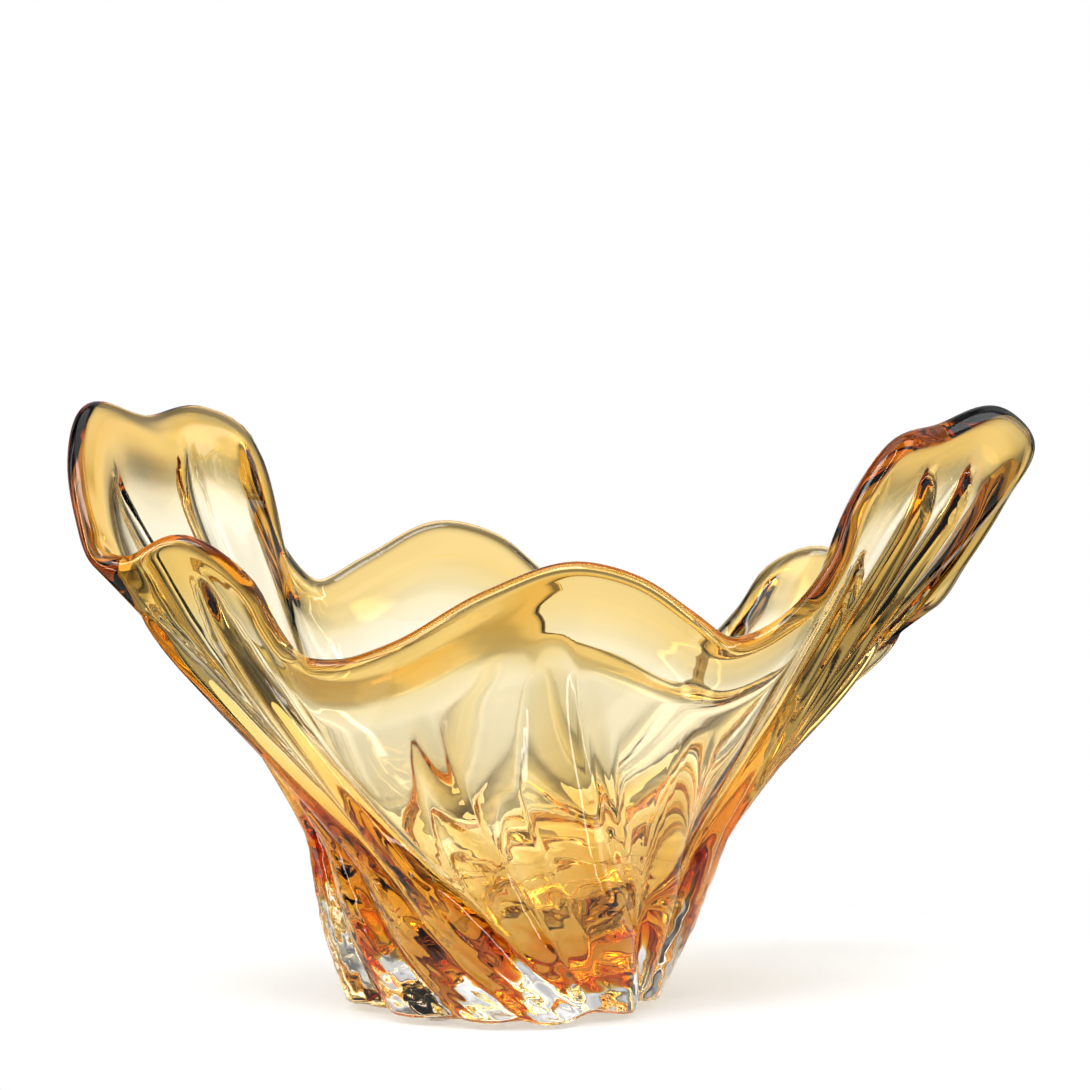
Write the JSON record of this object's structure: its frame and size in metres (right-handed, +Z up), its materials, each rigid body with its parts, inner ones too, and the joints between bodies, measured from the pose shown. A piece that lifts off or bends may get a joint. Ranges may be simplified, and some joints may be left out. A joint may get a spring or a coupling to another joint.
{
  "type": "art glass bowl",
  "caption": "Free-form cased art glass bowl with a wandering lobed rim, two tall wings and twisted folds, for show or fruit.",
  "frame": {"origin": "middle of the bowl's box at the surface it stands on", "axes": "+X towards one wing tip, along the longest extent; +Z up, out of the open mouth"},
  "size_m": [0.4982, 0.2506, 0.3147],
  "materials": {
    "amber_glass": "fire-polished transparent amber glass",
    "clear_glass": "fire-polished clear glass, ground underside",
    "clear_pad": "soft clear polyurethane"
  },
  "bodies": {
    "root": {"amber_bowl": "amber_glass", "clear_casing": "clear_glass", "pad_front_left": "clear_pad", "pad_front_right": "clear_pad", "pad_back_right": "clear_pad", "pad_back_left": "clear_pad"}
  },
  "joints": []
}
